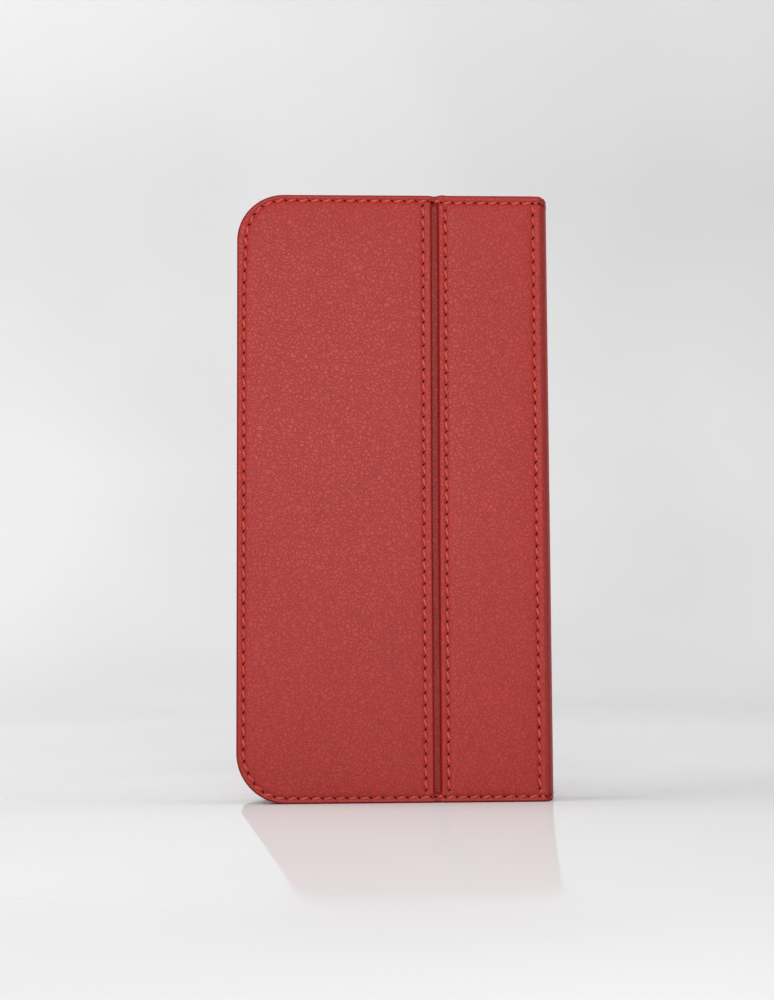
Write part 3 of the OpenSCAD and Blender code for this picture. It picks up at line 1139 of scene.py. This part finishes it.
def make_pads():
    """Foam pads under the leather."""
    free_x = mark["free_x"] + 1.3 * MM
    seam = mark["spine_seam"] - 0.3 * MM
    spans = {
        "wide_leaf": (free_x, mark["groove_left"] - 1.6 * MM, front_depth, -1),
        "narrow_leaf": (mark["groove_right"] + 1.6 * MM, seam, front_depth, -1),
        "back_cover": (free_x, seam, back_depth, 1),
    }
    for body, (start_x, end_x, depth_at, side) in spans.items():
        piece = pad(body + "_pad", start_x, end_x, depth_at, side)
        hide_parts(body + "_padding")
        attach(piece, body)


def make_linings():
    """Linings of both covers, the front one with its fold line over the groove."""
    end_x = mark["leaf_end"] - 0.6 * MM
    start_x = mark["free_x"] + RIM_W
    front = lining("front_lining", start_x, end_x, -1, mark["groove_x"])
    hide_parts("wide_leaf_lining", "narrow_leaf_lining")
    over_groove(front)
    back = lining("back_lining", start_x, end_x, 1)
    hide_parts("back_cover_lining")
    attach(back, "back_cover")


def make_spine():
    """Spine leather, its board and lining, and the strips over both creases."""
    outside = spine_profile()
    # The spine's whole outside takes 0.5 of the darker, duller rim colour: painted shade of the
    # side that faces away from the lamps
    spine = strip("spine_skin", outside, behind_spine(outside), LEATHER_T, 0.5 + 0 * outside[:, 0])
    fix_to("spine", spine, "leather", "spine_leather")
    board = spine_sheet("spine_board", LEATHER_T, SPINE_LAYER_T, 5 * MM, board_finish)
    fix_to("spine", board, "board", "spine_stiffener")
    inner_depth = LEATHER_T + SPINE_LAYER_T
    inside = spine_sheet("spine_lining_sheet", inner_depth, SPINE_LAYER_T, 5 * MM, lining_cloth)
    fix_to("spine", inside, "lining", "spine_lining")
    for side in (-1, 1):
        make_crease(side)


def make_crease(side):
    """Outer strip and inner lining over one crease."""
    name = "front_crease" if side < 0 else "back_crease"
    profile = crease_profile()
    behind = behind_crease(profile)
    if side > 0:
        profile, behind = mirrored(profile), mirrored(behind)
    crease_x = mark["crease_x"]
    # Painted shade: the strip's side past the crease takes the darker, duller rim colour, standing
    # for the shade of that side
    painted_side_shade = 0.75 * smooth(crease_x - 0.3 * MM, crease_x + 0.4 * MM, profile[:, 0])
    outer = strip(name + "_strip", profile, behind, 0.7 * MM, painted_side_shade, seam_relief, STRIP_SHORT)
    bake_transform(outer)
    inner = crease_lining(name + "_lining", side)
    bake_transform(inner)


def make_pockets():
    """Card slots in the back cover and upright pockets in the wide leaf."""
    for slot in range(1, 9):
        piece = panel(f"card_panel_{slot}", f"card_slot_{slot}", 1, SLOT_LEAN)
        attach(piece, "back_cover")
    for place in ("upper", "lower"):
        piece = panel(f"{place}_pocket", f"{place}_pocket_panel", -1, 0, notch=True)
        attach(piece, "wide_leaf")


def make_seams():
    """Every visible seam."""
    sew_front()
    sew_back()
    sew_insides()
    make_groove_crossings()
    make_spine_seams(mark["height"] - SEAM_INSET)


def sew_front():
    """Seams on the outside of the two front leaves."""
    low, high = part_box("wide_leaf_groove_thread")
    start = mark["groove_left"] - 0.5 * MM
    wide = [edge_path(start, start), upright(mark["left_seam"], high.z, low.z + 0.5 * MM)]
    sew("wide_leaf", "wide_leaf", wide, front_surface, -1,
        ("wide_leaf_edge_thread", "wide_leaf_groove_thread"))
    start = mark["groove_right"] + 1.0 * MM
    seam = mark["spine_seam"]
    crease = mark["crease_x"] - 0.25 * MM
    top = mark["height"] - float(seam_inset(seam, mark["height"]))
    bottom = float(seam_inset(seam, 0.0))
    narrow = [
        level(seam, start, top),
        level(crease, seam, top),
        level(start, seam, bottom),
        level(seam, crease, bottom),
        upright(mark["right_seam"], high.z - 1.6 * MM, low.z + 0.5 * MM),
        upright(seam, top, low.z + 0.8 * MM),
    ]
    sew("narrow_leaf", "narrow_leaf", narrow, front_surface, -1,
        ("narrow_leaf_edge_thread", "narrow_leaf_groove_thread", "narrow_leaf_spine_thread"))


def sew_back():
    """Seams on the outside of the back cover."""
    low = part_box("wide_leaf_groove_thread")[0]
    seam = mark["spine_seam"]
    back = [
        edge_path(seam, seam),
        upright(seam, mark["height"] - SEAM_INSET, low.z + 0.8 * MM),
    ]
    sew("back_cover", "back_cover", back, back_surface, 1,
        ("back_cover_edge_thread", "back_cover_spine_thread"))


def sew_insides():
    """Seams where they come through the linings."""
    top = mark["height"] - SEAM_INSET
    end = mark["leaf_end"] - 1.4 * MM
    left, right = mark["groove_left"], mark["groove_right"]
    sew("wide_leaf_inside", "wide_leaf", [edge_path(left, left)], lining_surface(-1), 1)
    sew("narrow_leaf_inside", "narrow_leaf",
        [level(end, right, top), level(right, end, SEAM_INSET)], lining_surface(-1), 1)
    sew("back_cover_inside", "back_cover", [edge_path(end, end)], lining_surface(1), -1)


def make_groove_crossings():
    """The short stitch and needle holes where each edge seam dips through the groove."""
    out = np.array([0.0, -1.0, 0.0])
    hole_x = mark["groove_left"] + 0.45 * MM
    stitch_x = mark["groove_right"] - 0.3 * MM
    stitches, holes = [], []
    for z in (mark["height"] - SEAM_INSET + 0.3 * MM, SEAM_INSET - 0.4 * MM):
        hole = np.array([hole_x, front_surface(hole_x, z), z])
        stitch = np.array([stitch_x, front_surface(mark["groove_right"], z), z + 0.1 * MM])
        lifted = turned_way((1, 0), math.radians(27)) * 0.6
        stitches.append((drawn(stitch), lifted, out))
        holes.append((drawn(hole), turned_way((1, 0), HOLE_SLANT), out))
        far = hole + np.array([0.55 * MM, 0.1 * MM, -0.25 * MM])
        holes.append((drawn(far), turned_way((1, 0), -HOLE_SLANT) * 0.7, out))
    stitched = place_all("groove_stitches", stitch_shape(), stitches, thread_finish)
    pierced = place_all("groove_needle_holes", hole_shape(), holes, hole_painted_shade)
    over_groove(stitched)
    over_groove(pierced)


def make_spine_seams(top):
    """Short seams over the spine's ends."""
    stitches, holes = [], []
    for z in (SEAM_INSET, top):
        more_stitches, more_holes = spine_places(z)
        stitches += more_stitches
        holes += more_holes
    stitched = place_all("spine_stitches", stitch_shape(), stitches, thread_finish)
    pierced = place_all("spine_needle_holes", hole_shape(), holes, hole_painted_shade)
    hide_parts("spine_thread")
    for piece in (stitched, pierced):
        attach(piece, "spine")


def finish_cad_nodes():
    """Materials of the CAD parts that stay."""
    for name, node in frame["nodes"].items():
        if node.hide_render:
            continue
        material = board_finish if "board" in name else lining_cloth
        node.data.materials.clear()
        node.data.materials.append(material)


# ---------------------------------------------------------------- Studio


def make_stage():
    """Pale floor that curves up into a wall behind the holder."""
    wall_y = 1.1
    bend_r = 0.5
    angles = np.radians(np.linspace(-90, 0, 25))
    bend_y = wall_y - bend_r + bend_r * np.cos(angles)
    bend_z = bend_r + bend_r * np.sin(angles)
    y = np.concatenate([[-1.6], bend_y, [wall_y]])
    z = np.concatenate([[0.0], bend_z, [2.4]])
    half = 2.4
    outer = np.stack([np.stack([np.full_like(y, side * half), y, z], -1) for side in (-1, 1)])
    inner = outer - np.array([0, 0, 0.02])
    inner[:, -1] += np.array([0, 0.02, 0.02])
    stage = closed_sheet("backdrop", outer, inner, floor_material())


def aim(thing, target):
    """Turns a lamp towards a point."""
    thing.rotation_euler = (Vector(target) - thing.location).to_track_quat("-Z", "Y").to_euler()


def lamp(name, place, size, power, target=(0, 0, 0.09)):
    """Soft square lamp aimed at the holder, or at another target."""
    light = bpy.data.lights.new(name, "AREA")
    light.size = size
    light.energy = power
    piece = bpy.data.objects.new(name, light)
    bpy.context.scene.collection.objects.link(piece)
    piece.location = place
    aim(piece, target)
    return piece


def make_light():
    """Soft studio light: pale surroundings, two small lamps in front and two on the wall."""
    world = bpy.data.worlds.new("studio")
    bpy.context.scene.world = world
    world.use_nodes = True
    background = world.node_tree.nodes["Background"]
    background.inputs["Color"].default_value = (1.0, 1.0, 1.0, 1)
    background.inputs["Strength"].default_value = 0.52
    lamp("sheen", (0.03, -0.62, 0.22), 0.22, 0.95)
    lamp("window", (-0.26, -0.9, 0.33), 0.2, 1.4)
    left = lamp("wall_left", (-1.1, 0.0, 1.4), 1.2, 28, target=(-0.7, 1.1, 0.5))
    right = lamp("wall_right", (1.2, 0.0, 1.4), 1.2, 16, target=(0.7, 1.1, 0.5))
    for piece in (left, right):
        piece.visible_glossy = False
    bpy.context.scene.view_settings.view_transform = "Standard"


def make_camera():
    """Camera at the photograph's viewing angle."""
    camera = bpy.data.cameras.new("camera")
    camera.lens = CAMERA_LENS
    camera.sensor_width = 36
    camera.clip_start = 0.01
    camera.clip_end = 20
    piece = bpy.data.objects.new("camera", camera)
    bpy.context.scene.collection.objects.link(piece)
    ahead = Vector((
        math.sin(CAMERA_YAW) * math.cos(CAMERA_PITCH),
        math.cos(CAMERA_YAW) * math.cos(CAMERA_PITCH),
        math.sin(CAMERA_PITCH),
    ))
    level_right = Vector((math.cos(CAMERA_YAW), -math.sin(CAMERA_YAW), 0))
    level_up = level_right.cross(ahead)
    right = level_right * math.cos(CAMERA_ROLL) + level_up * math.sin(CAMERA_ROLL)
    up = right.cross(ahead)
    turn = Matrix((right, up, -ahead)).transposed()
    piece.matrix_world = Matrix.Translation(CAMERA_PLACE) @ turn.to_4x4()
    bpy.context.scene.camera = piece


# ---------------------------------------------------------------- Run

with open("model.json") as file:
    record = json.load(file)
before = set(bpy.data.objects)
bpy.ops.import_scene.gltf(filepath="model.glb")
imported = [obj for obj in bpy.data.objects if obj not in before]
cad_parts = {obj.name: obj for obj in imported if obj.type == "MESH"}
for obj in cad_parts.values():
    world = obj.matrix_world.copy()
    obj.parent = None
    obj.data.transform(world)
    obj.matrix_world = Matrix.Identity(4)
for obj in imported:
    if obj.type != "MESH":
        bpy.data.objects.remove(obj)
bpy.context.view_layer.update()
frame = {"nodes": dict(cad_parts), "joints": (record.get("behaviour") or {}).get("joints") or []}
mark = read_landmarks()

leather = leather_finish(
    "grained_leather", 1050, 0.06 * MM, (0.36, 0.0125, 0.0075), (0.415, 0.0163, 0.0099), 0.41
)
leather_fine = leather_finish(
    "pocket_leather", 1300, 0.03 * MM, (0.30, 0.012, 0.008), (0.38, 0.017, 0.011), 0.48
)
thread_finish = thread_material()
# Painted shade for the needle holes
hole_painted_shade = hole_shade_material()
lining_cloth = lining_material()
board_finish = board_material()
foam = foam_material()

make_camera()
make_light()
make_stage()
make_covers()
make_spine()
make_pockets()
make_seams()
finish_cad_nodes()
